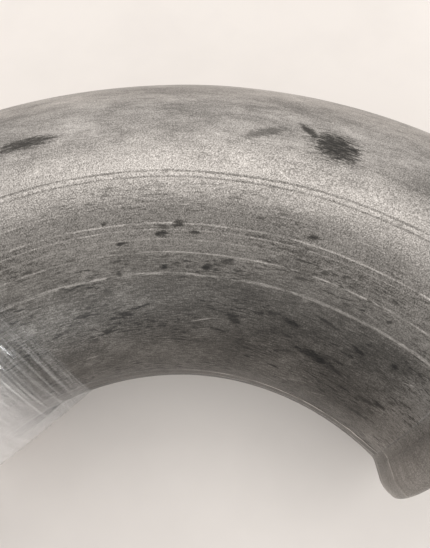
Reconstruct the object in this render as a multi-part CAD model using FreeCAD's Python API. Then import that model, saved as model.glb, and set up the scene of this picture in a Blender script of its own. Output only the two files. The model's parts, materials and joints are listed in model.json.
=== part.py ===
import FreeCAD, Part
import math
import os

# Lined 90 degree delivery elbow, lying on its side: the bend plane is level, one mouth faces -Y
# (the outlet) and the other faces -X (the inlet).  Millimetres, +Z up, the floor at Z = 0, and the
# origin under the middle of the part's box.
#
# Two pressed half shells are welded along the inside and the outside of the bend.  A one-piece
# hard liner lies in them.  At each end a raised collar is butt welded to the shells and holds a
# hard wear ring, and stretch film is wound over the inlet end.

# ---- driving dimensions ----
BEND_RADIUS = 190.5          # bend axis to tube centre-line, one and a half times the nominal 5 in
BEND_ANGLE = 90.0
TUBE_OD = 139.7
SHELL_WALL = 4.0
LINER_WALL = 3.2
LINER_TAIL = 6.0             # straight end of the liner that reaches into each collar
COLLAR_RISE = 6.5            # rim above the tube
RIM_LAND = 2.7               # straight width of the rim
SHOULDER_ANGLE = 31.6        # slope of the collar's back shoulder against its axis
BLEND_RADIUS = 8.0           # hollow blend from the tube up to the shoulder, dressed on the weld
CREST_RADIUS = 8.7           # round between the shoulder and the rim
FACE_EDGE_RADIUS = 2.0       # round between the rim and the mouth's face
WEAR_RING_WALL = 5.5
MOUTH_CHAMFER = 1.0          # on the wear ring's inner edge, at the face
SEAM_CAP_WIDTH = 8.0         # seam weld's width on the outside
SEAM_ROOT_WIDTH = 1.2
GIRTH_ROOT_WIDTH = 1.2
FILM_THICKNESS = 0.3         # all the turns of film pressed together
FILM_FACE_MARGIN = 1.0       # film's end short of the mouth's face
FILM_EDGE_INSIDE = 65.0      # where the film's edge crosses the inside of the bend, in degrees
FILM_EDGE_OUTSIDE = 80.0     # where it crosses the outside of the bend
FILM_POINTS = 24             # points that shape each ring of the film

# ---- clearances ----
LINER_GAP = 0.15             # liner in the shells, on the radius
RING_GAP = 0.05              # wear ring in its collar seat, on the radius
RING_END_GAP = 0.2           # liner's tail to the wear ring
FILM_GAP = 0.1               # film over the steel

# ---- derived sizes ----
TUBE_R = TUBE_OD / 2
SHELL_INNER_R = TUBE_R - SHELL_WALL
LINER_R = SHELL_INNER_R - LINER_GAP
BORE_R = LINER_R - LINER_WALL
COLLAR_R = TUBE_R + COLLAR_RISE
RING_R = BORE_R + WEAR_RING_WALL
SEAT_R = RING_R + RING_GAP
RING_START = LINER_TAIL + RING_END_GAP

# the collar's outline, as (distance past the end of the bend, radius)
SLOPE = math.radians(SHOULDER_ANGLE)
BLEND_MIDDLE = (0.0, TUBE_R + BLEND_RADIUS)
BLEND_END = (BLEND_RADIUS * math.sin(SLOPE), TUBE_R + BLEND_RADIUS * (1 - math.cos(SLOPE)))
CREST_START_R = COLLAR_R - CREST_RADIUS * (1 - math.cos(SLOPE))
CREST_START = (BLEND_END[0] + (CREST_START_R - BLEND_END[1]) / math.tan(SLOPE), CREST_START_R)
CREST_MIDDLE = (CREST_START[0] + CREST_RADIUS * math.sin(SLOPE), COLLAR_R - CREST_RADIUS)
RIM_END = CREST_MIDDLE[0] + RIM_LAND
COLLAR_LENGTH = RIM_END + FACE_EDGE_RADIUS

# the part's place over its origin
FILM_COLLAR_R = COLLAR_R + FILM_GAP + FILM_THICKNESS
CENTRE_X = (BEND_RADIUS + COLLAR_R - COLLAR_LENGTH) / 2
CENTRE_Y = (BEND_RADIUS + FILM_COLLAR_R - COLLAR_LENGTH) / 2
BEND_CENTRE = FreeCAD.Vector(-CENTRE_X, -CENTRE_Y, FILM_COLLAR_R)
UP = FreeCAD.Vector(0, 0, 1)


def radial(angle):
    """Unit vector from the bend centre, level, at an angle in degrees from +X."""
    turn = math.radians(angle)
    return FreeCAD.Vector(math.cos(turn), math.sin(turn), 0)


OUTLET = (BEND_CENTRE + radial(0) * BEND_RADIUS, -radial(90))
INLET = (BEND_CENTRE + radial(BEND_ANGLE) * BEND_RADIUS, radial(BEND_ANGLE + 90))


def disc(centre, normal, radius):
    """Flat round face."""
    return Part.Face(Part.Wire(Part.Circle(centre, normal, radius).toShape()))


def sheet(points):
    """Flat face with straight sides."""
    return Part.Face(Part.makePolygon(points + points[:1]))


def bend(section):
    """Turn a section at the outlet end through the whole bend."""
    return section.revolve(BEND_CENTRE, UP, BEND_ANGLE)


# ---- shells and their seams ----

def wall_section():
    """Ring-shaped section of the outer wall at the outlet end of the bend."""
    centre, along = OUTLET
    return disc(centre, along, TUBE_R).cut(disc(centre, along, SHELL_INNER_R))


def seam_section(side):
    """Groove of one seam: narrow at the root, wide on the outside; side is +1 outside, -1 inside."""
    centre = OUTLET[0]
    out = radial(0) * side
    grow = (SEAM_CAP_WIDTH - SEAM_ROOT_WIDTH) / 2 / SHELL_WALL
    near, root, far = SHELL_INNER_R - SHELL_WALL, SHELL_INNER_R, TUBE_R + SHELL_WALL
    root_half, far_half = SEAM_ROOT_WIDTH / 2, SEAM_CAP_WIDTH / 2 + SHELL_WALL * grow
    return sheet([
        centre + out * near - UP * root_half,
        centre + out * root - UP * root_half,
        centre + out * far - UP * far_half,
        centre + out * far + UP * far_half,
        centre + out * root + UP * root_half,
        centre + out * near + UP * root_half,
    ])


def half_shell(side):
    """One pressed half of the outer wall; side is +1 for the upper half, -1 for the lower."""
    section = wall_section()
    for seam_side in (1, -1):
        section = section.cut(seam_section(seam_side))
    halves = [face for face in section.Faces if face.CenterOfMass.z * side > BEND_CENTRE.z * side]
    return bend(halves[0])


def seam_weld(side):
    """Weld that fills one seam and is ground flush with the shells."""
    section = wall_section().common(seam_section(side))
    return bend(section.Faces[0])


# ---- liner ----

def wear_liner():
    """Hard inner tube in one piece, with a short straight tail at each end."""
    centre, along = OUTLET
    section = disc(centre, along, LINER_R).cut(disc(centre, along, BORE_R)).Faces[0]
    liner = bend(section)
    for centre, along in (OUTLET, INLET):
        ring = disc(centre, along, LINER_R).cut(disc(centre, along, BORE_R)).Faces[0]
        liner = liner.fuse(ring.extrude(along * LINER_TAIL))
    return liner.removeSplitter().Solids[0]


# ---- collars, their welds and wear rings ----

def spin_profile(end, edges):
    """Turn a closed half-profile about an end's axis."""
    centre, along = end
    return Part.Face(Part.Wire(Part.__sortEdges__(edges))).revolve(centre, along, 360)


def place(end, station, radius):
    """Point of a half-profile: its distance past the bend, and its radius."""
    centre, along = end
    return centre + along * station + UP * radius


def line(end, first, last):
    """Straight edge of a half-profile."""
    return Part.makeLine(place(end, *first), place(end, *last))


def arc(end, middle, radius, start, stop):
    """Round edge of a half-profile; angles in degrees from the way out, towards the outside."""
    found = []
    for angle in (start, (start + stop) / 2, stop):
        turn = math.radians(angle)
        found.append(place(end, middle[0] + radius * math.cos(turn),
                           middle[1] + radius * math.sin(turn)))
    return Part.Arc(*found).toShape()


def girth_weld(end):
    """Butt weld of collar to shells, its cap dressed to the hollow blend."""
    root_near, root_far = (0.0, SHELL_INNER_R), (GIRTH_ROOT_WIDTH, SHELL_INNER_R)
    return spin_profile(end, [
        line(end, root_near, (0.0, TUBE_R)),
        arc(end, BLEND_MIDDLE, BLEND_RADIUS, -90, -90 + SHOULDER_ANGLE),
        line(end, BLEND_END, root_far),
        line(end, root_far, root_near),
    ])


def collar(end):
    """Raised end: bevelled nose, sloping shoulder, rounded crest, short rim, flat face, ring seat."""
    nose = (GIRTH_ROOT_WIDTH, SHELL_INNER_R)
    step_in, step_out = (RING_START, SHELL_INNER_R), (RING_START, SEAT_R)
    face_in = (COLLAR_LENGTH, SEAT_R)
    face_out = (COLLAR_LENGTH, COLLAR_R - FACE_EDGE_RADIUS)
    return spin_profile(end, [
        line(end, nose, BLEND_END),
        line(end, BLEND_END, CREST_START),
        arc(end, CREST_MIDDLE, CREST_RADIUS, 90 + SHOULDER_ANGLE, 90),
        line(end, (CREST_MIDDLE[0], COLLAR_R), (RIM_END, COLLAR_R)),
        arc(end, (RIM_END, COLLAR_R - FACE_EDGE_RADIUS), FACE_EDGE_RADIUS, 90, 0),
        line(end, face_out, face_in),
        line(end, face_in, step_out),
        line(end, step_out, step_in),
        line(end, step_in, nose),
    ])


def wear_ring(end):
    """Hard ring pushed into the collar, flush with the face, its bore in line with the liner's."""
    back_in, back_out = (RING_START, BORE_R), (RING_START, RING_R)
    face_out = (COLLAR_LENGTH, RING_R)
    face_in = (COLLAR_LENGTH, BORE_R + MOUTH_CHAMFER)
    bore_end = (COLLAR_LENGTH - MOUTH_CHAMFER, BORE_R)
    return spin_profile(end, [
        line(end, back_in, back_out),
        line(end, back_out, face_out),
        line(end, face_out, face_in),
        line(end, face_in, bore_end),
        line(end, bore_end, back_in),
    ])


# ---- stretch film over the inlet end ----

def film_edge(angle, radius):
    """Point of the film's slanted edge: a ring of the tube cut by an upright plane."""
    inside = radial(FILM_EDGE_INSIDE) * (BEND_RADIUS - TUBE_R)
    outside = radial(FILM_EDGE_OUTSIDE) * (BEND_RADIUS + TUBE_R)
    way = (outside - inside).normalize()
    foot = inside - way * inside.dot(way)
    reach = BEND_RADIUS + radius * math.cos(angle)
    level = foot + way * math.sqrt(reach ** 2 - foot.Length ** 2)
    return BEND_CENTRE + level + UP * (radius * math.sin(angle))


def film_ring(angle, radius, station):
    """Point of a ring round the inlet collar."""
    centre, along = INLET
    out = radial(BEND_ANGLE) * math.cos(angle) + UP * math.sin(angle)
    return centre + along * station + out * radius


def closed_wire(points):
    """Smooth closed curve through points."""
    curve = Part.BSplineCurve()
    curve.interpolate(Points=points, PeriodicFlag=True)
    return Part.Wire(curve.toShape())


def film_body(gap):
    """Solid outline of the taut film at a distance off the steel, from its edge to its end."""
    turns = [2 * math.pi * count / FILM_POINTS for count in range(FILM_POINTS)]
    rim = COLLAR_R + gap
    crest = CREST_MIDDLE[0] - CREST_RADIUS * math.tan(SLOPE / 2)
    end = COLLAR_LENGTH - FILM_FACE_MARGIN
    wires = [
        closed_wire([film_edge(turn, TUBE_R + gap) for turn in turns]),
        closed_wire([film_ring(turn, rim, crest) for turn in turns]),
        closed_wire([film_ring(turn, rim, end) for turn in turns]),
    ]
    return Part.makeLoft(wires, True, True)


def film_wrap():
    """Film as one closed skin, open at both ends."""
    return film_body(FILM_GAP + FILM_THICKNESS).cut(film_body(FILM_GAP)).Solids[0]


def build():
    """Every sub-part by its node name."""
    return {
        "upper_half_shell": half_shell(1),
        "lower_half_shell": half_shell(-1),
        "intrados_seam_weld": seam_weld(-1),
        "extrados_seam_weld": seam_weld(1),
        "wear_liner": wear_liner(),
        "inlet_girth_weld": girth_weld(INLET),
        "outlet_girth_weld": girth_weld(OUTLET),
        "inlet_collar": collar(INLET),
        "outlet_collar": collar(OUTLET),
        "inlet_wear_ring": wear_ring(INLET),
        "outlet_wear_ring": wear_ring(OUTLET),
        "film_wrap": film_wrap(),
    }


os.makedirs("parts", exist_ok=True)
for name, shape in build().items():
    shape.exportStep(os.path.join("parts", name + ".step"))
    box = shape.optimalBoundingBox()
    print(name, shape.ShapeType, shape.isValid(), round(shape.Volume, 1),
          [round(v, 2) for v in (box.XMin, box.XMax, box.YMin, box.YMax, box.ZMin, box.ZMax)])
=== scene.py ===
# %% [markdown]
# # A lined pipe elbow, lying on its side
#
# The real object is a quarter-turn elbow of a delivery line: two pressed steel halves welded together,
# a hard liner inside, a raised collar with a hard ring at each end, and stretch film wound over one end.
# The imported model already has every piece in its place, so it is loaded first. It serves as a jig: each
# visible piece below is built on sizes read from it, in metres, and takes the place of one plain node.

# %% Load the frame
import json
import math
import random

import bmesh
import bpy
from mathutils import Matrix, Quaternion, Vector, noise


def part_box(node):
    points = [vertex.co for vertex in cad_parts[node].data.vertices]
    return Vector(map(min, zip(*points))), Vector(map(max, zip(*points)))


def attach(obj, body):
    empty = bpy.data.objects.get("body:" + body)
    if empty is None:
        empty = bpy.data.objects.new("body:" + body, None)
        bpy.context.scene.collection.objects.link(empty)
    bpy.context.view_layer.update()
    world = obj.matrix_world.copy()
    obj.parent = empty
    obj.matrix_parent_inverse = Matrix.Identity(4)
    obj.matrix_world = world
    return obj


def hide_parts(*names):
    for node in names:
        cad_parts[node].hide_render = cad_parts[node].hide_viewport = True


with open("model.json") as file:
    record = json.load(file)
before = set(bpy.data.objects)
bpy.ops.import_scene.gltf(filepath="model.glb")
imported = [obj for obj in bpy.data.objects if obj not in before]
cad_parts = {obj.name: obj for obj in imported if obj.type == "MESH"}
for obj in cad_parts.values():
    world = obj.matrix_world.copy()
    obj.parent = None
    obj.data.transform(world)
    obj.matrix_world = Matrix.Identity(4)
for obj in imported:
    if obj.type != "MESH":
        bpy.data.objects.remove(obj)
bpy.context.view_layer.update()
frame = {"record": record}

# %% [markdown]
# ## The sizes that everything follows
#
# An elbow is a ring's quarter: a round section carried round an upright axis. So three things place
# nearly all of it: the bend's centre, the bend's radius and the tube's radius. They could be typed in
# again, but reading them from the frame keeps this model true if the elbow is ever made in another size.

# %% Read the driving sizes
MM = 0.001
mounts = {mount["name"]: mount for mount in frame["record"]["mounts"]}
outlet_mouth = Vector(mounts["outlet_bore"]["pos_m"])
bend_centre = Vector((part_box("inlet_girth_weld")[1].x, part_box("outlet_girth_weld")[1].y, outlet_mouth.z))
bend_radius = outlet_mouth.x - bend_centre.x
tube_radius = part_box("upper_half_shell")[1].z - bend_centre.z
liner_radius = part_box("wear_liner")[1].z - bend_centre.z
ring_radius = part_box("outlet_wear_ring")[1].z - bend_centre.z
rim_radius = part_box("outlet_collar")[1].z - bend_centre.z
bore_radius = mounts["outlet_bore"]["dims"]["r_mm"] * MM
collar_length = bend_centre.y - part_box("outlet_collar")[0].y
liner_tail = bend_centre.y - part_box("wear_liner")[0].y
ring_start = bend_centre.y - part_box("outlet_wear_ring")[1].y
shell_wall = 4.0 * MM
UP = Vector((0, 0, 1))
print("bend radius %.1f mm, tube radius %.2f mm, rim radius %.2f mm, collar %.2f mm long"
      % (bend_radius / MM, tube_radius / MM, rim_radius / MM, collar_length / MM))

# %% [markdown]
# ## Places on the elbow
#
# Two angles say where a point of the skin is. The bend angle runs from 0 degrees at the outlet to 90
# at the inlet. The round angle runs round the tube: 0 on the outside of the bend, 90 on top and 180 on
# the inside. Both ends of the elbow also have their own axis, along which the collars are turned.


# %% Angles and ends
def radial(bend_angle):
    """Level unit vector from the bend's centre, at a bend angle in degrees."""
    turn = math.radians(bend_angle)
    return Vector((math.cos(turn), math.sin(turn), 0))


def skin_point(bend_angle, round_angle, radius):
    """Point at a radius from the tube's middle, angles in degrees."""
    turn = math.radians(round_angle)
    reach = bend_radius + radius * math.cos(turn)
    return bend_centre + radial(bend_angle) * reach + UP * (radius * math.sin(turn))


def angles_of(point):
    """Bend angle and round angle of a point, in radians."""
    flat = point - bend_centre
    bend_angle = math.atan2(flat.y, flat.x)
    return bend_angle, math.atan2(flat.z, math.hypot(flat.x, flat.y) - bend_radius)


ends = {
    "outlet": (bend_centre + radial(0) * bend_radius, -radial(90)),
    "inlet": (bend_centre + radial(90) * bend_radius, radial(180)),
}
for end, (middle, way_out) in ends.items():
    print(end, "end at", [round(c, 4) for c in middle], "faces", [round(c) for c in way_out])

# %% [markdown]
# ## From a drawn section to a piece
#
# Every steel piece here is a section carried round an axis, which is what Blender's spin does. A full
# spin needs its first and last copies merged. After a spin the faces may point either way, so they are
# made to agree, and an open skin is then turned outwards before it is given its wall.


# %% Shared mesh helpers
def carry_round(bm, centre, axis, degrees, steps):
    """Spin everything in the bmesh about an axis; a full circle is closed up."""
    bmesh.ops.spin(
        bm, geom=bm.verts[:] + bm.edges[:], cent=centre, axis=axis, dvec=(0, 0, 0),
        angle=math.radians(degrees), steps=steps, use_merge=degrees == 360, use_duplicate=False,
    )


def face_away(bm):
    """Make an open skin's faces point away from the tube's middle."""
    bmesh.ops.recalc_face_normals(bm, faces=bm.faces[:])
    face = next(iter(bm.faces))
    bend_angle, round_angle = angles_of(face.calc_center_median())
    away = radial(math.degrees(bend_angle)) * math.cos(round_angle) + UP * math.sin(round_angle)
    if face.normal.dot(away) < 0:
        bmesh.ops.reverse_faces(bm, faces=bm.faces[:])


def make_piece(name, bm, node, sharp=40):
    """Turn a bmesh into a smooth piece that stands for a node and rides on the elbow."""
    mesh = bpy.data.meshes.new(name)
    bm.to_mesh(mesh)
    bm.free()
    mesh.shade_smooth()
    mesh.set_sharp_from_angle(angle=math.radians(sharp))
    piece = bpy.data.objects.new(name, mesh)
    bpy.context.scene.collection.objects.link(piece)
    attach(piece, "root")
    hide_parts(node)
    print(name, "has", len(mesh.polygons), "faces")
    return piece


def give_wall(piece, thickness, side):
    """Thicken a skin: side is -1 to grow inwards, 1 to grow outwards."""
    wall = piece.modifiers.new("wall", "SOLIDIFY")
    wall.thickness = thickness
    wall.offset = side
    wall.use_even_offset = True


# %% [markdown]
# ## A map that follows the bend
#
# Scratches on the real pipe run along the bend and round its ends. A pattern on plain X, Y and Z would
# cut straight across it, so each piece carries a UV map in metres: U along the bend (or round the
# collar), V round the tube (or along the collar). Unrolling it face by face keeps the numbers from
# jumping where an angle starts again.


# %% UV maps in metres
def near(angle, other):
    """The same angle, turned by whole turns until it is within half a turn of the other."""
    return angle - 2 * math.pi * round((angle - other) / (2 * math.pi))


def map_bend(piece):
    """U is metres along the tube's middle line, V is metres round the tube."""
    layer = piece.data.uv_layers.new(name="unrolled")
    for face in piece.data.polygons:
        face_angles = angles_of(face.center)
        for loop in face.loop_indices:
            vertex = piece.data.vertices[piece.data.loops[loop].vertex_index].co
            along, around = angles_of(vertex)
            around = near(around, face_angles[1])
            layer.data[loop].uv = (along * bend_radius, around * tube_radius)


def map_end(piece, end):
    """U is metres round the end's rim from the underside, V is metres out from the bend."""
    middle, way_out = ends[end]
    sideways = UP.cross(way_out)
    layer = piece.data.uv_layers.new(name="unrolled")

    def place_of(point):
        arm = point - middle
        return math.atan2(arm.dot(sideways), arm.dot(UP)), arm.dot(way_out)

    for face in piece.data.polygons:
        face_turn = place_of(face.center)[0]
        for loop in face.loop_indices:
            turn, out = place_of(piece.data.vertices[piece.data.loops[loop].vertex_index].co)
            layer.data[loop].uv = (near(turn, face_turn) * rim_radius, out)


# %% [markdown]
# ## The two pressed half shells
#
# Each half is pressed from plate in a die, so its skin is very slightly uneven, and drag lines from the
# die run along it. It could be a scaled torus, but a torus has no wall and no trimmed edges. Here a
# circle is drawn at the outlet, cut back to leave room for the two seam welds, carried through the
# bend, made a little uneven, and given its 4 mm wall by Solidify.

# %% Half shells
ROUND_STEPS = 260
BEND_STEPS = 216
SEAM_CAP = 8.0 * MM


def tube_ring(bm, radius, steps):
    """Ring of edges round the tube's middle, at the outlet end of the bend."""
    upright = Matrix.Translation(ends["outlet"][0]) @ Matrix.Rotation(math.radians(90), 4, "X")
    bmesh.ops.create_circle(bm, cap_ends=False, segments=steps, radius=radius, matrix=upright)


def make_uneven(bm, depth, spacing, seed):
    """Move the skin in and out by a soft pattern that dies away at both ends of the bend."""
    bm.normal_update()
    for vertex in bm.verts:
        share = angles_of(vertex.co)[0] / math.radians(90)
        fade = min(1, 12 * min(share, 1 - share))
        wave = noise.noise(vertex.co / spacing + Vector((seed, 0, 0)))
        vertex.co += vertex.normal * (wave * depth * max(0, fade))


def half_shell(name, side, node):
    """One pressed half; side is 1 for the upper and -1 for the lower."""
    bm = bmesh.new()
    tube_ring(bm, tube_radius, ROUND_STEPS)
    bmesh.ops.bisect_plane(
        bm, geom=bm.verts[:] + bm.edges[:], plane_co=bend_centre + UP * (side * SEAM_CAP / 2),
        plane_no=UP * side, clear_inner=True,
    )
    carry_round(bm, bend_centre, UP, 90, BEND_STEPS)
    face_away(bm)
    make_uneven(bm, 0.22 * MM, 45 * MM, 3 * side)
    piece = make_piece(name, bm, node)
    map_bend(piece)
    give_wall(piece, shell_wall, -1)
    return piece


upper_shell = half_shell("half_shell_upper", 1, "upper_half_shell")
lower_shell = half_shell("half_shell_lower", -1, "lower_half_shell")

# %% [markdown]
# ## The seam welds
#
# The halves are welded along the inside and the outside of the bend and then ground nearly flush. What
# gives such a seam away is its edge, which wanders, and a cap that still stands a few tenths of a
# millimetre proud. So the strip is carried round like the shells, and then its width and height are
# made to wander with a noise that depends only on the bend angle.

# %% Seam welds
CAP_PROUD = 0.45 * MM
CAP_STEPS = 14
CAP_WANDER = 0.16
CAP_GROUND_FROM = math.radians(22)
CAP_GROUND_OVER = math.radians(14)


def seam_weld(name, inside, node):
    """Ground weld strip along the inside or the outside of the bend."""
    bm = bmesh.new()
    middle = 180 if inside else 0
    reach = math.degrees(math.asin(SEAM_CAP / 2 / tube_radius))
    last = None
    for step in range(CAP_STEPS + 1):
        round_angle = middle + reach * (2 * step / CAP_STEPS - 1)
        vertex = bm.verts.new(skin_point(0, round_angle, tube_radius))
        if last:
            bm.edges.new((last, vertex))
        last = vertex
    carry_round(bm, bend_centre, UP, 90, 3 * BEND_STEPS)
    face_away(bm)
    half = math.radians(reach)
    for vertex in bm.verts:
        along, around = angles_of(vertex.co)
        across = near(around, math.radians(middle)) - math.radians(middle)
        upper = across > 0
        drift = noise.noise(Vector((along * 22, 5 * upper + 9 * inside, 0)))
        drift += 0.5 * noise.noise(Vector((along * 75, 5 * upper + 3, 0)))
        across *= 1 + CAP_WANDER * (drift + 1)
        crown = max(0, 1 - (across / half / 1.1) ** 8)
        crown *= 0.75 + 0.5 * noise.noise(Vector((along * 30, across * 14, 7)))
        crown *= 1 - 0.75 * min(1, max(0, (along - CAP_GROUND_FROM) / CAP_GROUND_OVER))
        fade = min(1, 40 * min(along, math.radians(90) - along))
        radius = tube_radius + CAP_PROUD * crown * max(0, fade) - 0.02 * MM
        vertex.co = skin_point(math.degrees(along), middle + math.degrees(across), radius)
    piece = make_piece(name, bm, node)
    map_bend(piece)
    give_wall(piece, shell_wall, -1)
    return piece


inner_seam = seam_weld("seam_weld_intrados", True, "intrados_seam_weld")
outer_seam = seam_weld("seam_weld_extrados", False, "extrados_seam_weld")

# %% [markdown]
# ## The hard liner
#
# The liner is one tube, seen only through the mouths. Its bore is the surface that matters, so the
# circle drawn here is the bore's, with a straight tail extruded at each end, and Solidify grows the
# wall outwards towards the shells.

# %% Wear liner
def wear_liner():
    """Hard inner tube with a straight tail at both ends."""
    bm = bmesh.new()
    tube_ring(bm, bore_radius, ROUND_STEPS // 2)
    first_ring = bm.edges[:]
    bmesh.ops.translate(bm, verts=bm.verts[:], vec=ends["outlet"][1] * liner_tail)
    grown = bmesh.ops.extrude_edge_only(bm, edges=first_ring)["geom"]
    ring = [item for item in grown if isinstance(item, bmesh.types.BMVert)]
    bmesh.ops.translate(bm, verts=ring, vec=-ends["outlet"][1] * liner_tail)
    edges = [item for item in grown if isinstance(item, bmesh.types.BMEdge)]
    turned = bmesh.ops.spin(
        bm, geom=ring + edges, cent=bend_centre, axis=UP, dvec=(0, 0, 0),
        angle=math.radians(90), steps=BEND_STEPS // 2, use_merge=False, use_duplicate=False,
    )["geom_last"]
    edges = [item for item in turned if isinstance(item, bmesh.types.BMEdge)]
    grown = bmesh.ops.extrude_edge_only(bm, edges=edges)["geom"]
    ring = [item for item in grown if isinstance(item, bmesh.types.BMVert)]
    bmesh.ops.translate(bm, verts=ring, vec=ends["inlet"][1] * liner_tail)
    face_away(bm)
    piece = make_piece("wear_liner_tube", bm, "wear_liner")
    map_bend(piece)
    give_wall(piece, liner_radius - bore_radius, 1)
    return piece


liner = wear_liner()

# %% [markdown]
# ## The raised collars
#
# A collar is one solid ring: a hollow blend from the tube, a sloping shoulder that the clamp bears
# on, a rounded crest, a short rim and a flat face. The outline is drawn with sharp corners, and the
# bevel operator rounds three of them, by the length that a radius takes up on each side of a corner.
# One full spin makes the solid. A thin witness line of the seam crosses each collar, so the vertices at
# that angle are lifted a little.

# %% Sizes of a raised end
END_STEPS = 360
SHOULDER_ANGLE = math.radians(31.6)
BLEND_RADIUS = 8.0 * MM
CREST_RADIUS = 8.7 * MM
FACE_EDGE_RADIUS = 2.0 * MM
RIM_LAND = 2.7 * MM
WELD_ROOT = 1.2 * MM
SEAT_GAP = 0.05 * MM


def taken_up(radius, turn):
    """Length that a rounded corner takes from each of its two sides."""
    return radius * math.tan(turn / 2)


crest_taken = taken_up(CREST_RADIUS, SHOULDER_ANGLE)
crest_corner = collar_length - FACE_EDGE_RADIUS - RIM_LAND - crest_taken
blend_rise = BLEND_RADIUS * (1 - math.cos(SHOULDER_ANGLE))
blend_end = (BLEND_RADIUS * math.sin(SHOULDER_ANGLE), tube_radius + blend_rise)
shell_inner = tube_radius - shell_wall
print("crest corner %.2f mm out, blend %.2f mm high" % (crest_corner / MM, blend_rise / MM))


# %% Outline helpers
def draw_outline(bm, end, points):
    """Closed outline in the upright plane through an end's axis, from (way out, radius) points."""
    middle, way_out = ends[end]
    corners = [bm.verts.new(middle + way_out * out + UP * radius) for out, radius in points]
    for first, second in zip(corners, corners[1:] + corners[:1]):
        bm.edges.new((first, second))
    return corners


def round_corner(bm, corner, offset, segments):
    """Round one corner of an outline."""
    bmesh.ops.bevel(
        bm, geom=[corner], offset=offset, offset_type="OFFSET", affect="VERTICES",
        segments=segments, profile=0.5, material=-1,
    )


# %% Collars
# The line's round angle and its width are in degrees.
WITNESS_ANGLE = 172
WITNESS_PROUD = 0.3 * MM
WITNESS_WIDTH = 1.5


def lift_witness(bm, end):
    """Raise a narrow ridge along the skin where the seam's line crosses a collar."""
    middle, way_out = ends[end]
    bend_way = radial(0) if end == "outlet" else radial(90)
    ridge_way = bend_way * math.cos(math.radians(WITNESS_ANGLE)) + UP * math.sin(math.radians(WITNESS_ANGLE))
    for vertex in bm.verts:
        arm = vertex.co - middle
        out = arm.dot(way_out)
        arm -= way_out * out
        off = math.degrees(arm.angle(ridge_way))
        on_skin = arm.length > tube_radius and out < collar_length - FACE_EDGE_RADIUS / 2
        if on_skin and off < 3 * WITNESS_WIDTH:
            fade = min(1, (arm.length - tube_radius) / (0.5 * MM))
            vertex.co += arm.normalized() * (WITNESS_PROUD * fade * math.exp(-((off / WITNESS_WIDTH) ** 2)))


def collar(name, end, node):
    """Raised end, in one piece."""
    bm = bmesh.new()
    seat = ring_radius + SEAT_GAP
    corners = draw_outline(bm, end, [
        (WELD_ROOT, shell_inner),
        blend_end,
        (crest_corner, rim_radius),
        (collar_length, rim_radius),
        (collar_length, seat),
        (ring_start, seat),
        (ring_start, shell_inner),
    ])
    round_corner(bm, corners[2], crest_taken, 10)
    round_corner(bm, corners[3], FACE_EDGE_RADIUS, 8)
    round_corner(bm, corners[4], 0.3 * MM, 2)
    carry_round(bm, *ends[end], 360, END_STEPS)
    lift_witness(bm, end)
    bmesh.ops.recalc_face_normals(bm, faces=bm.faces[:])
    piece = make_piece(name, bm, node, sharp=50)
    map_end(piece, end)
    return piece


collars = [collar("collar_" + end, end, end + "_collar") for end in ends]

# %% [markdown]
# ## The butt welds
#
# Each collar is butt welded to the two shells, and the weld's cap is dressed until it becomes the start
# of the collar's hollow blend. The cap could be bevelled like the collar's corners, but it is only an arc,
# so its points are stepped along that arc and spun with the same number of steps as the collar. The two
# skins then meet without a crack.

# %% Butt welds
def girth_weld(name, end, node):
    """Butt weld between shells and collar, its cap dressed to the hollow blend."""
    bm = bmesh.new()
    steps = 10
    points = [(WELD_ROOT, shell_inner), (0, shell_inner)]
    for step in range(steps + 1):
        turn = SHOULDER_ANGLE * step / steps
        points.append((BLEND_RADIUS * math.sin(turn), tube_radius + BLEND_RADIUS * (1 - math.cos(turn))))
    draw_outline(bm, end, points)
    carry_round(bm, *ends[end], 360, END_STEPS)
    bmesh.ops.recalc_face_normals(bm, faces=bm.faces[:])
    piece = make_piece(name, bm, node, sharp=50)
    map_end(piece, end)
    return piece


girths = [girth_weld("butt_weld_" + end, end, end + "_girth_weld") for end in ends]

# %% [markdown]
# ## The hard rings in the mouths
#
# Each mouth has a hard ring, because the flow wears the first few millimetres most. Its outline has a
# chamfer where the ball and the flow enter, and small broken edges elsewhere.

# %% Wear rings
MOUTH_CHAMFER = 1.0 * MM


def mouth_ring(name, end, node):
    """Hard ring flush with the collar's face."""
    bm = bmesh.new()
    corners = draw_outline(bm, end, [
        (ring_start, bore_radius),
        (ring_start, ring_radius),
        (collar_length, ring_radius),
        (collar_length, bore_radius + MOUTH_CHAMFER),
        (collar_length - MOUTH_CHAMFER, bore_radius),
    ])
    round_corner(bm, corners[2], 0.25 * MM, 2)
    round_corner(bm, corners[3], 0.25 * MM, 2)
    round_corner(bm, corners[4], 0.25 * MM, 2)
    carry_round(bm, *ends[end], 360, END_STEPS)
    bmesh.ops.recalc_face_normals(bm, faces=bm.faces[:])
    piece = make_piece(name, bm, node, sharp=50)
    map_end(piece, end)
    return piece


mouth_rings = [mouth_ring("mouth_ring_" + end, end, end + "_wear_ring") for end in ends]

# %% [markdown]
# ## The stretch film
#
# Stretch film is wound by hand over the inlet end to keep dirt out. It is one long strip, wound two
# and a half times round. On the tube it lies flat, and from there it spans straight across to the
# collar's crest, so there is air under it. Pulled film makes long wrinkles that run round with the
# turns. A cloth simulation could find them, but the film is so taut that its shape is known, so the
# strip is a grid whose rows are placed on that shape and lifted by a ridged noise.

# %% Sizes of the film
FILM_TURNS = 2.5
FILM_START = 215
FILM_EDGE_INSIDE = 65.0
FILM_EDGE_OUTSIDE = 80.0
FILM_LIFT = 0.16 * MM
FILM_LAYER = 0.09 * MM
FILM_SKIN = 0.05 * MM
FILM_ACROSS = 96
FILM_ALONG = 500
CREST_SHARE = 0.8
WRINKLE_HEIGHT = 0.9 * MM
PRESSED_SHARE = 0.15
print("film grid has", FILM_ACROSS * FILM_ALONG, "cells")


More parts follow.
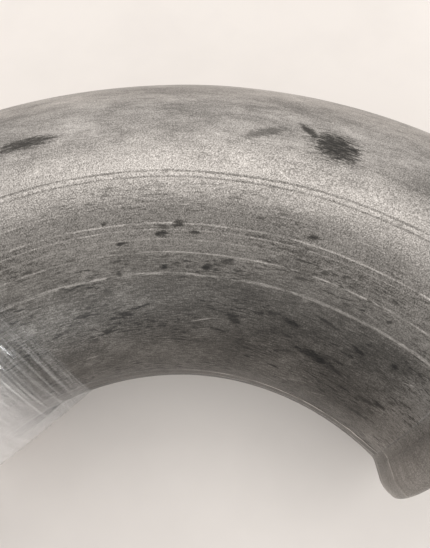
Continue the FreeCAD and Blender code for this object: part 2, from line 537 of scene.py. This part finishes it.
# %% Where the film lies
def edge_place(around, radius):
    """Point of the film's slanting edge on the tube, for an angle round the tube in radians."""
    inside = radial(FILM_EDGE_INSIDE) * (bend_radius - tube_radius)
    outside = radial(FILM_EDGE_OUTSIDE) * (bend_radius + tube_radius)
    way = (outside - inside).normalized()
    foot = inside - way * inside.dot(way)
    reach = bend_radius + radius * math.cos(around)
    level = foot + way * math.sqrt(reach ** 2 - foot.length_squared)
    return bend_centre + level + UP * (radius * math.sin(around))


def rim_place(around, radius, out):
    """Point round the inlet collar."""
    middle, way_out = ends["inlet"]
    return middle + way_out * out + (radial(90) * math.cos(around) + UP * math.sin(around)) * radius


def ridge(around, across, layer):
    """Height of the wrinkles, from 0 to about 1: sharp crests that run round with the turns."""
    slant = across + 0.05 * math.sin(around * 2 + layer)
    fine = noise.noise(Vector((around * 1.3, slant * 26, layer * 4)))
    broad = noise.noise(Vector((around * 0.8 + 5, slant * 6, layer * 4 + 2)))
    return max(0, 1 - abs(fine) * 5) ** 2 * 0.6 + max(0, 1 - abs(broad) * 4) ** 2 * 0.6


def film_place(around, across, layer):
    """Point of the film: across is 0 at its edge on the tube and 1 near the mouth's face."""
    lift = FILM_LIFT + FILM_LAYER * layer
    edge = edge_place(around, tube_radius + lift)
    top = rim_place(around, rim_radius + lift, crest_corner)
    if across < CREST_SHARE:
        share = across / CREST_SHARE
        place = edge.lerp(top, share)
        free = math.sin(math.pi * share)
    else:
        share = (across - CREST_SHARE) / (1 - CREST_SHARE)
        span = collar_length - 1 * MM - crest_corner
        place = rim_place(around, rim_radius + lift, crest_corner + share * span)
        free = 0
    middle, way_out = ends["inlet"]
    arm = place - middle
    away = (arm - way_out * arm.dot(way_out)).normalized()
    return place + away * (ridge(around, across, layer) * (PRESSED_SHARE + free) * WRINKLE_HEIGHT)


# %% Film strip
def film_strip():
    """The wound strip as one sheet."""
    bm = bmesh.new()
    bmesh.ops.create_grid(bm, x_segments=FILM_ALONG, y_segments=FILM_ACROSS, size=0.5, calc_uvs=False)
    for vertex in bm.verts:
        turned = (vertex.co.x + 0.5) * FILM_TURNS
        around = math.radians(FILM_START) + 2 * math.pi * turned
        shift = 0.035 * math.sin(turned * 2.1 + 1)
        across = min(1, max(0, (vertex.co.y + 0.5) * (1 - max(0, shift)) + max(0, shift)))
        vertex.co = film_place(around, across, turned)
    bmesh.ops.recalc_face_normals(bm, faces=bm.faces[:])
    piece = make_piece("stretch_film_wrap", bm, "film_wrap", sharp=180)
    layer = piece.data.uv_layers.new(name="unrolled")
    middle, way_out = ends["inlet"]
    for loop in piece.data.loops:
        place = piece.data.vertices[loop.vertex_index].co
        column = loop.vertex_index % (FILM_ALONG + 1)
        layer.data[loop.index].uv = (column / FILM_ALONG, (place - middle).dot(way_out))
    give_wall(piece, FILM_SKIN, 1)
    return piece


film = film_strip()

# %% [markdown]
# ## Writing materials as short sums
#
# A procedural material is a small calculation. These helpers add one node each and return its output,
# so a finish reads as a sum: a zone's tone, plus grain, plus drag lines, less stains.


# %% Node helpers
def put(tree, kind, inputs, output=0, **settings):
    """Add a node, set its options, feed its inputs by number or name, and return one output."""
    node = tree.nodes.new(kind)
    for key, value in settings.items():
        setattr(node, key, value)
    for key, value in inputs.items():
        if isinstance(value, bpy.types.NodeSocket):
            tree.links.new(value, node.inputs[key])
        else:
            node.inputs[key].default_value = value
    return node.outputs[output]


def calc(tree, operation, first, second=0.0, third=0.0):
    """One arithmetic step."""
    return put(tree, "ShaderNodeMath", {0: first, 1: second, 2: third}, operation=operation)


def scaled(tree, vector, x, y, z):
    """Stretch a pattern's coordinates."""
    return put(tree, "ShaderNodeVectorMath", {0: vector, 1: (x, y, z)}, operation="MULTIPLY")


def cloud(tree, vector, scale, detail=3.0, rough=0.55):
    """Soft noise from 0 to 1."""
    inputs = {"Vector": vector, "Scale": scale, "Detail": detail, "Roughness": rough}
    return put(tree, "ShaderNodeTexNoise", inputs)


def between(tree, value, low, high, out_low=0.0, out_high=1.0):
    """Bring a range of values to another range, with soft ends."""
    return put(
        tree, "ShaderNodeMapRange", {"Value": value, 1: low, 2: high, 3: out_low, 4: out_high},
        interpolation_type="SMOOTHSTEP",
    )


def stops(tree, value, places, interpolation="LINEAR"):
    """Colour ramp from (position, colour) pairs; a colour is one grey level or three parts."""
    node = tree.nodes.new("ShaderNodeValToRGB")
    node.color_ramp.interpolation = interpolation
    elements = node.color_ramp.elements
    for index, (position, colour) in enumerate(places):
        element = elements[index] if index < 2 else elements.new(position)
        element.position = position
        parts = (colour,) * 3 if isinstance(colour, float) else colour
        element.color = (*parts, 1)
    tree.links.new(value, node.inputs[0])
    return node.outputs[0]


def new_material(name):
    """Empty node material with its shader and output."""
    material = bpy.data.materials.new(name)
    material.use_nodes = True
    tree = material.node_tree
    tree.nodes.clear()
    shader = tree.nodes.new("ShaderNodeBsdfPrincipled")
    output = tree.nodes.new("ShaderNodeOutputMaterial")
    tree.links.new(shader.outputs[0], output.inputs[0])
    return material, tree, shader


def finish_shader(tree, shader, colour, roughness, height, depth):
    """Feed the shader its colour, roughness and surface relief, depth in metres."""
    tree.links.new(colour, shader.inputs["Base Color"])
    tree.links.new(roughness, shader.inputs["Roughness"])
    relief = put(tree, "ShaderNodeBump", {"Height": height, "Distance": depth, "Strength": 1.0})
    tree.links.new(relief, shader.inputs["Normal"])


# %% [markdown]
# ## Blasted steel with drag lines
#
# The top of the tube is bright, peppery and matt from shot blasting. Towards the inside of the bend the
# die has dragged long lines, and the steel there is darker, partly in its own tone and partly by painted
# shade, as that side faces away from the lights. A few dark stains of old oil and rust lie along it. The
# tone is built up as one number, and a ramp then turns it into steel: near-black for a stain, warm grey
# for the skin, nearly white for a fresh scratch.
#
# Six large stains have places of their own, in round numbers. Small pits, scars and scratches could be
# placed one by one too, but a scatter with a fixed seed, kept to the zone where each kind occurs, reads
# just as well and stays short. A thresholded, stretched noise adds the fibrous dark dashes.

# %% Marks on the steel
# A mark is: bend angle, round angle, length and width in mm, lean in degrees, strength.
OIL_PATCH = (27, 78, 21, 14, -15, 1.0)
OIL_PATCH_TAIL = (30, 74, 13, 4, -40, 0.8)
OIL_SMEAR = (35, 78, 20, 5, 25, 0.5)
FAR_STREAK = (62, 78, 28, 6, 0, 0.8)
LOW_SCAR = (20, 148, 17, 5, -10, 1.0)
LOW_SCAR_TRAIL = (35, 143, 8, 4, -40, 0.85)


def scattered(seed, count, bend_range, round_range, length_range, width_range, lean, strength_range):
    """Seeded marks, anywhere within one zone of the skin."""
    chance = random.Random(seed)
    marks = []
    for _ in range(count):
        place = (chance.uniform(*bend_range), chance.uniform(*round_range))
        size = (chance.uniform(*length_range), chance.uniform(*width_range))
        marks.append((*place, *size, chance.uniform(-lean, lean), chance.uniform(*strength_range)))
    return marks


PITS = scattered(3, 14, (12, 60), (110, 128), (1.5, 6), (1.2, 2.6), 25, (0.5, 1.0))
SCARS = scattered(8, 26, (3, 60), (134, 163), (2.5, 12), (1.0, 2.8), 18, (0.5, 1.0))
STAINS = [OIL_PATCH, OIL_PATCH_TAIL, OIL_SMEAR, FAR_STREAK, LOW_SCAR, LOW_SCAR_TRAIL] + PITS + SCARS
SCRATCHES = scattered(5, 10, (5, 62), (68, 172), (3, 12), (0.4, 0.7), 35, (0.1, 0.24))
print("scattered", len(PITS), "pits,", len(SCARS), "scars and", len(SCRATCHES), "scratches")

# %% [markdown]
# ## Long lines along the bend
#
# A drag line follows the bend at one round angle for its whole length, because the plate slid over the
# same spot of the die. It could be a stretched noise, but then it would have no fixed place, so each
# line has a round angle in whole degrees, and a noise wears gaps in it.

# %% Drag lines
DRAG_LINES = [
    # round angle, width in mm, brightness
    (107, 0.4, 0.08),
    (113, 0.5, 0.22),
    (115, 0.4, 0.16),
    (118, 0.4, 0.08),
    (122, 0.45, 0.18),
    (129, 0.8, 0.20),
]
DARK_LINES = [
    # round angle, width in mm, darkness
    (96, 0.7, 0.17),
    (98, 0.6, 0.15),
]
print(len(DRAG_LINES), "bright and", len(DARK_LINES), "dark lines")

# %% [markdown]
# ## Marks and lines as sums of nodes
#
# Marks could be painted on a flat map, but that map would have to be stored and would blur up close.
# Here a mark is the distance from its middle, measured in its own length and width, plus a ragged
# noise. It stays crisp at any distance, and the whole skin is one calculation.


# %% Marks and lines as node sums
def mark(tree, unrolled, ragged, place):
    """Share of one stain or scratch at each point, with a ragged outline."""
    bend_angle, round_angle, length, width, lean, strength = place
    squeeze = 1 + tube_radius / bend_radius * math.cos(math.radians(round_angle))
    true_size = scaled(tree, unrolled, squeeze, 1.0, 1.0)
    middle = (math.radians(bend_angle) * bend_radius * squeeze, math.radians(round_angle) * tube_radius, 0)
    placed = put(
        tree, "ShaderNodeMapping",
        {"Vector": true_size, "Location": middle, "Rotation": (0, 0, math.radians(lean)),
         "Scale": (length * MM / 2, width * MM / 2, 1)},
        vector_type="TEXTURE",
    )
    far = put(tree, "ShaderNodeVectorMath", {0: placed}, output="Value", operation="LENGTH")
    far = calc(tree, "ADD", far, ragged)
    return between(tree, far, 1.3, 0.45, 0.0, strength)


def line_at(tree, around, wobble, round_angle, width, strength):
    """Share of one thin line that runs along the bend at a round angle."""
    away = calc(tree, "SUBTRACT", around, math.radians(round_angle) * tube_radius)
    away = calc(tree, "ABSOLUTE", calc(tree, "ADD", away, wobble))
    return between(tree, away, width * MM, width * MM * 0.3, 0.0, strength)


def total(tree, values, operation="ADD"):
    """Sum, or the highest, of several outputs."""
    result = values[0]
    for value in values[1:]:
        result = calc(tree, operation, result, value)
    return result


def uneven(tree, pattern, depth):
    """A noise's swing about its middle, times a depth."""
    return calc(tree, "MULTIPLY", calc(tree, "SUBTRACT", pattern, 0.5), depth)


def round_share(tree, solid):
    """0 on the outside of the bend, 0.5 on top or underneath, 1 on the inside."""
    arm = put(tree, "ShaderNodeVectorMath", {0: solid, 1: bend_centre}, operation="SUBTRACT")
    height = calc(tree, "ABSOLUTE", put(tree, "ShaderNodeSeparateXYZ", {0: arm}, output=2))
    level = scaled(tree, arm, 1.0, 1.0, 0.0)
    reach = put(tree, "ShaderNodeVectorMath", {0: level}, output="Value", operation="LENGTH")
    turn = calc(tree, "ARCTAN2", height, calc(tree, "SUBTRACT", reach, bend_radius))
    return calc(tree, "DIVIDE", turn, math.pi)


# %% [markdown]
# ## Tones of the steel
#
# The skin's finish changes round the tube: cloudy on the outside of the bend, brightly blasted on top,
# and dark and streaked on the inside, where the tone also holds painted shade, as that side faces away
# from the lights. Each could be its own material, but their borders are soft. So each effect has a list
# of shares round the tube, which fades it in and out.

# %% Tones of the steel
# Tone 0 to 1 becomes a colour. A zone list runs from the outside of the bend (0) to its inside (1).
STEEL_TONES = [
    (0.0, (0.010, 0.010, 0.0105)),
    (0.25, (0.079, 0.073, 0.066)),
    (0.5, (0.245, 0.229, 0.212)),
    (0.75, (0.52, 0.487, 0.457)),
    (1.0, (0.88, 0.85, 0.82)),
]
# The tone falls towards the inside of the bend: partly darker, drag-lined steel and partly painted shade.
ZONES_WITH_PAINTED_SHADE = [
    (0.0, 0.60), (0.42, 0.61), (0.465, 0.56), (0.49, 0.60), (0.53, 0.62), (0.565, 0.54),
    (0.60, 0.42), (0.64, 0.36), (0.69, 0.32), (0.74, 0.25), (0.85, 0.25), (0.97, 0.31),
]
SPECKLE_ZONES = [(0.0, 0.7), (0.44, 0.75), (0.49, 1.0), (0.56, 1.0), (0.62, 0.8), (0.70, 0.4), (1.0, 0.35)]
STREAK_ZONES = [(0.0, 0.4), (0.5, 0.2), (0.6, 0.5), (0.7, 1.0), (0.85, 1.15), (1.0, 0.9)]
CLOUD_ZONES = [(0.0, 1.0), (0.45, 1.0), (0.52, 0.25), (0.66, 0.4), (1.0, 0.5)]
print(len(ZONES_WITH_PAINTED_SHADE), "stops of tone round the tube")


# %% Worn lines and stains
def worn_lines(tree, unrolled):
    """Bright and dark lines along the bend, both with worn gaps."""
    around = put(tree, "ShaderNodeSeparateXYZ", {0: unrolled}, output=1)
    bend_wave = cloud(tree, scaled(tree, unrolled, 9.0, 0.0, 1.0), 1.0, 2.0, 0.5)
    wobble = uneven(tree, bend_wave, 3.0 * MM)
    worn = cloud(tree, scaled(tree, unrolled, 60.0, 300.0, 1.0), 1.0, 4.0, 0.6)
    bright = total(tree, [line_at(tree, around, wobble, *line) for line in DRAG_LINES])
    dark = total(tree, [line_at(tree, around, wobble, *line) for line in DARK_LINES])
    bright = calc(tree, "MULTIPLY", bright, between(tree, worn, 0.3, 0.62))
    return bright, calc(tree, "MULTIPLY", dark, between(tree, worn, 0.25, 0.5))


def stain_share(tree, unrolled, streak_zone):
    """Share of stain: the placed marks, and crowds of fibrous dashes where the steel is streaked."""
    ragged = uneven(tree, cloud(tree, scaled(tree, unrolled, 260.0, 900.0, 1.0), 1.0, 6.0, 0.8), 3.6)
    stained = total(tree, [mark(tree, unrolled, ragged, place) for place in STAINS], "MAXIMUM")
    fibres = cloud(tree, scaled(tree, unrolled, 280.0, 1500.0, 1.0), 1.0, 3.0, 0.7)
    stained = calc(tree, "MULTIPLY", stained, between(tree, fibres, 0.34, 0.54, 0.6, 1.0))
    dashes = cloud(tree, scaled(tree, unrolled, 150.0, 850.0, 1.0), 1.0, 5.0, 0.7)
    crowded = between(tree, cloud(tree, scaled(tree, unrolled, 22.0, 60.0, 1.0), 1.0, 2.0, 0.5), 0.41, 0.6)
    dashes = calc(tree, "MULTIPLY", between(tree, dashes, 0.51, 0.62, 0.0, 0.8), crowded)
    return calc(tree, "MAXIMUM", stained, calc(tree, "MULTIPLY", dashes, streak_zone))


def brushed_ends(tree, unrolled):
    """Lighter steel over the last 30 mm at both ends of the bend, where it was brushed for welding."""
    along = put(tree, "ShaderNodeSeparateXYZ", {0: unrolled}, output=0)
    to_end = calc(tree, "MINIMUM", along, calc(tree, "SUBTRACT", math.radians(90) * bend_radius, along))
    return between(tree, to_end, 30 * MM, 0.0, 0.0, 0.14)


# %% Blasted steel
def blasted_steel():
    """Shot-blasted, pressed steel."""
    material, tree, shader = new_material("blasted_steel")
    unrolled = put(tree, "ShaderNodeUVMap", {}, uv_map="unrolled")
    solid = put(tree, "ShaderNodeTexCoord", {}, output="Object")
    turn = round_share(tree, solid)
    # painted shade: the zone tone darkens the inside of the bend, partly for darker steel and partly for
    # shade
    zone = stops(tree, turn, ZONES_WITH_PAINTED_SHADE, "EASE")
    streak_zone = stops(tree, turn, STREAK_ZONES, "EASE")

    grain = uneven(tree, cloud(tree, solid, 1900.0, 2.0, 0.6), 1.0)
    grain = calc(tree, "MULTIPLY", grain, stops(tree, turn, SPECKLE_ZONES, "EASE"))
    drag = uneven(tree, cloud(tree, scaled(tree, unrolled, 200.0, 1600.0, 1.0), 1.0, 4.0, 0.75), 0.5)
    drag = calc(tree, "MULTIPLY", drag, streak_zone)
    patches = uneven(tree, cloud(tree, scaled(tree, unrolled, 30.0, 75.0, 1.0), 1.0, 8.0, 0.76), 0.95)
    patches = calc(tree, "MULTIPLY", patches, stops(tree, turn, CLOUD_ZONES, "EASE"))
    haze = uneven(tree, cloud(tree, scaled(tree, unrolled, 8.0, 22.0, 1.0), 1.0, 3.0, 0.5), 0.16)
    brushed = calc(tree, "MULTIPLY", brushed_ends(tree, unrolled), streak_zone)
    bright, dark = worn_lines(tree, unrolled)

    tone = total(tree, [zone, grain, drag, patches, haze, bright, brushed])
    tone = calc(tree, "SUBTRACT", tone, dark)
    stained = stain_share(tree, unrolled, streak_zone)
    tone = calc(tree, "MULTIPLY", tone, calc(tree, "MULTIPLY_ADD", stained, -0.84, 1.0))
    sharp = calc(tree, "MULTIPLY", grain, 0.4)
    scratched = total(tree, [mark(tree, unrolled, sharp, place) for place in SCRATCHES], "MAXIMUM")
    tone = calc(tree, "ADD", tone, scratched)

    colour = stops(tree, tone, STEEL_TONES)
    roughness = calc(tree, "MULTIPLY_ADD", calc(tree, "SUBTRACT", tone, 0.5), -0.12, 0.44)
    height = calc(tree, "SUBTRACT", total(tree, [grain, drag, bright]), dark)
    shader.inputs["Metallic"].default_value = 0.85
    finish_shader(tree, shader, colour, roughness, height, 0.1 * MM)
    return material


steel = blasted_steel()
for piece in (upper_shell, lower_shell):
    piece.data.materials.append(steel)
print("blasted steel has", len(steel.node_tree.nodes), "nodes")

# %% [markdown]
# ## Collar skin, ground welds and hard rings
#
# The collars' skin was drawn over a die, so fine lines run out towards the face. Ground welds show short
# strokes that follow the grinder. The hard rings are ground smooth, and the liner has dark scale. They
# share one recipe: a base tone, lines stretched along one way of the unrolled map, grain and patches.
# Collars, blends and seam welds also take part of the blasted steel's zone tones with their painted
# shade, and a thin bright line that is a painted highlight on a raised edge.


# %% Other steels
def plain_steel(name, base, line_scale, line_depth, grain_depth, patch_depth, rough, zone_and_shade_share=0.0, edge=None):
    """Steel with lines along U or V of its unrolled map, part of the zone tones with their painted shade, and
    maybe one bright line at a round angle that is a painted highlight.
    """
    material, tree, shader = new_material(name)
    unrolled = put(tree, "ShaderNodeUVMap", {}, uv_map="unrolled")
    solid = put(tree, "ShaderNodeTexCoord", {}, output="Object")
    lines = uneven(tree, cloud(tree, scaled(tree, unrolled, *line_scale, 1.0), 1.0, 4.0, 0.65), line_depth)
    grain = uneven(tree, cloud(tree, solid, 1900.0, 2.0, 0.7), grain_depth)
    patches = uneven(tree, cloud(tree, solid, 60.0, 5.0, 0.6), patch_depth)
    turn = round_share(tree, solid)
    # painted shade: part of the zone tones, darker towards the inside of the bend
    shift = uneven(tree, stops(tree, turn, ZONES_WITH_PAINTED_SHADE, "EASE"), zone_and_shade_share)
    parts = [lines, grain, patches, shift]
    # painted highlight: a bright line in the colour, where a raised edge catches the light
    if edge:
        round_angle, width, brightness, faded_by = edge
        away = calc(tree, "ABSOLUTE", calc(tree, "SUBTRACT", turn, round_angle / 180))
        share = math.degrees(width * MM / tube_radius) / 180
        # this noise breaks the painted highlight into pieces
        worn = between(tree, cloud(tree, solid, 70.0, 3.0, 0.6), 0.35, 0.6, 0.25, 1.0)
        if faded_by:
            along = put(tree, "ShaderNodeSeparateXYZ", {0: unrolled}, output=0)
            limit = math.radians(faded_by) * bend_radius
            worn = calc(tree, "MULTIPLY", worn, between(tree, along, limit, limit * 0.6, 0.1, 1.0))
        parts.append(calc(tree, "MULTIPLY", between(tree, away, share, share * 0.3, 0.0, brightness), worn))
    tone = calc(tree, "ADD", total(tree, parts), base)
    colour = stops(tree, tone, STEEL_TONES)
    roughness = calc(tree, "MULTIPLY_ADD", calc(tree, "SUBTRACT", tone, base), -0.3, rough)
    shader.inputs["Metallic"].default_value = 0.85
    finish_shader(tree, shader, colour, roughness, calc(tree, "ADD", lines, grain), 0.08 * MM)
    return material


# Each bright line is a painted highlight on a raised edge: round angle, width in mm, brightness, bend angle
# in degrees by which it has faded.
SEAM_HIGHLIGHT_ANGLE = 180 - 0.8 * math.degrees(math.asin(SEAM_CAP / 2 / tube_radius))
witness_highlight = (WITNESS_ANGLE, 0.9, 0.24, None)
turned = plain_steel("turned_steel", 0.63, (900.0, 60.0), 0.22, 0.5, 0.3, 0.44, 0.6, witness_highlight)
dressed = plain_steel("dressed_blend", 0.61, (700.0, 120.0), 0.3, 0.5, 0.3, 0.44, 0.9, witness_highlight)
ground = plain_steel("ground_weld", 0.48, (260.0, 900.0), 0.2, 0.4, 0.3, 0.44, 0.8, (SEAM_HIGHLIGHT_ANGLE, 0.7, 0.4, 50))
ring_steel = plain_steel("hard_ring", 0.46, (10.0, 1800.0), 0.25, 0.12, 0.2, 0.33)
liner_steel = plain_steel("hard_liner", 0.30, (30.0, 500.0), 0.25, 0.25, 0.4, 0.5)
for piece in collars:
    piece.data.materials.append(turned)
for piece in girths:
    piece.data.materials.append(dressed)
for piece in (inner_seam, outer_seam):
    piece.data.materials.append(ground)
for piece in mouth_rings:
    piece.data.materials.append(ring_steel)
liner.data.materials.append(liner_steel)

# %% [markdown]
# ## Clear stretch film
#
# Film is seen by what it reflects and by a slight milkiness where it is gathered. It could be made as
# glass, but glass this thin only costs render time and blocks lamps. An almost clear skin does better:
# a low alpha that rises along the wrinkles, a strong gloss, and a smooth surface.


# %% Film material
def stretch_film():
    """Clear film with milky gathers."""
    material, tree, shader = new_material("stretch_film")
    unrolled = put(tree, "ShaderNodeUVMap", {}, uv_map="unrolled")
    gathers = cloud(tree, scaled(tree, unrolled, 14.0, 900.0, 1.0), 1.0, 4.0, 0.6)
    out = put(tree, "ShaderNodeSeparateXYZ", {0: unrolled}, output=1)
    thick = between(tree, out, -45 * MM, 16 * MM, 0.0, 0.42)
    milk = calc(tree, "ADD", between(tree, gathers, 0.45, 0.8, 0.0, 0.16), thick)
    edge_on = put(tree, "ShaderNodeLayerWeight", {"Blend": 0.35}, output="Facing")
    seen = calc(tree, "MULTIPLY_ADD", calc(tree, "POWER", edge_on, 2.0), 0.22, milk)
    clear = between(tree, out, -70 * MM, -22 * MM, 0.2, 1.0)
    tree.links.new(calc(tree, "MULTIPLY", seen, clear), shader.inputs["Alpha"])
    shader.inputs["Base Color"].default_value = (0.93, 0.895, 0.87, 1)
    shader.inputs["Roughness"].default_value = 0.1
    shader.inputs["Metallic"].default_value = 0.2
    shader.inputs["IOR"].default_value = 2.2
    return material


film.data.materials.append(stretch_film())

# %% [markdown]
# ## The floor
#
# The elbow lies on a plain pale sheet. A flat white would look like paper cut round the elbow, so a soft
# noise gives the sheet some life, and a slow change of tone paints a soft shadow that darkens it towards
# the viewer. The sheet is staging and no part of the elbow.

# %% Floor
def pale_floor():
    """Large pale floor, slightly uneven, with a painted shadow that makes it a little darker near the viewer.
    """
    bm = bmesh.new()
    bmesh.ops.create_grid(bm, x_segments=8, y_segments=8, size=3.0)
    mesh = bpy.data.meshes.new("floor")
    bm.to_mesh(mesh)
    bm.free()
    floor = bpy.data.objects.new("floor", mesh)
    bpy.context.scene.collection.objects.link(floor)
    material, tree, shader = new_material("pale_floor")
    solid = put(tree, "ShaderNodeTexCoord", {}, output="Object")
    tone = cloud(tree, solid, 9.0, 4.0, 0.6)
    arm = put(tree, "ShaderNodeVectorMath", {0: solid, 1: bend_centre}, operation="SUBTRACT")
    away = put(tree, "ShaderNodeVectorMath", {0: arm, 1: radial(25)}, output="Value", operation="DOT_PRODUCT")
    # painted shadow: the floor's tone falls off towards the viewer
    painted_viewer_shade = between(tree, away, 0, 125 * MM, 0.02, 0.5)
    tone = calc(tree, "ADD", uneven(tree, tone, 0.5), painted_viewer_shade)
    colour = stops(tree, tone, [(0.0, (0.655, 0.612, 0.578)), (0.5, (0.82, 0.768, 0.725))])
    tree.links.new(colour, shader.inputs["Base Color"])
    shader.inputs["Roughness"].default_value = 0.6
    mesh.materials.append(material)
    return floor


floor = pale_floor()

# %% [markdown]
# ## Light
#
# Steel shows mostly what it reflects. One large soft light hangs high on the outer side of the bend, so
# a broad bright band runs along the top of the tube. A fill light keeps the floor inside the bend pale,
# and a small cool one low on that side glints on the film. A sky of one strength would flatten the tube,
# so it is graded from the inside of the bend to the outside.

# %% Light
scene = bpy.context.scene
world = bpy.data.worlds.new("studio")
world.use_nodes = True
sky = world.node_tree.nodes["Background"]
sky.inputs["Color"].default_value = (1.0, 0.985, 0.97, 1)
SKY_LEAN = Vector((0.36, 0.3, 0.88)).normalized()
way = put(world.node_tree, "ShaderNodeTexCoord", {}, output="Generated")
lean = put(
    world.node_tree, "ShaderNodeVectorMath", {0: way, 1: SKY_LEAN}, output="Value", operation="DOT_PRODUCT",
)
world.node_tree.links.new(between(world.node_tree, lean, -0.2, 0.95, 0.46, 1.15), sky.inputs["Strength"])
scene.world = world
scene.view_settings.view_transform = "Standard"

WARM = (1.0, 0.985, 0.965)
COOL = (0.93, 0.97, 1.0)
# A light is: direction from the elbow, distance and size in metres, power in watts, tint.
KEY = (Vector((0.27, 0.25, 0.93)), 1.1, 0.5, 2.0, WARM)
WINDOW = (Vector((-0.46, -0.87, 0.18)), 1.4, 0.35, 6.0, COOL)
FILL = (Vector((-0.55, -0.55, 0.62)), 1.2, 0.9, 3.0, WARM)
target = skin_point(45, 90, tube_radius)


def soft_light(name, direction, distance, size, power, tint):
    """Square area light that faces the top of the tube."""
    lamp = bpy.data.lights.new(name, "AREA")
    lamp.size = size
    lamp.energy = power
    lamp.color = tint
    holder = bpy.data.objects.new(name, lamp)
    scene.collection.objects.link(holder)
    direction = direction.normalized()
    holder.location = target + direction * distance
    holder.rotation_mode = "QUATERNION"
    holder.rotation_quaternion = direction.to_track_quat("Z", "Y")


soft_light("key", *KEY)
soft_light("window", *WINDOW)
soft_light("fill", *FILL)
print(len(bpy.data.lights), "soft lights")

# %% [markdown]
# ## The camera
#
# The camera looks down from above the inside of the bend, near enough that both ends of the elbow are
# cut off. It is aimed by two points, so that moving the eye keeps the elbow in view.

# %% Camera
# The eye and the point it looks at, in mm from the bend's centre.
EYE = Vector((57.5, 29.7, 269.2)) * MM
AIM = Vector((129.8, 108.1, 0.0)) * MM
ROLL = math.radians(-1.8)
LENS = 39.42
camera_data = bpy.data.cameras.new("camera")
camera_data.lens = LENS
camera = bpy.data.objects.new("camera", camera_data)
scene.collection.objects.link(camera)
camera.location = bend_centre + EYE
camera.rotation_mode = "QUATERNION"
camera.rotation_quaternion = (AIM - EYE).to_track_quat("-Z", "Y") @ Quaternion((0, 0, 1), ROLL)
camera_data.clip_start = 0.01
scene.camera = camera
print("camera at", [round(c, 4) for c in camera.location])
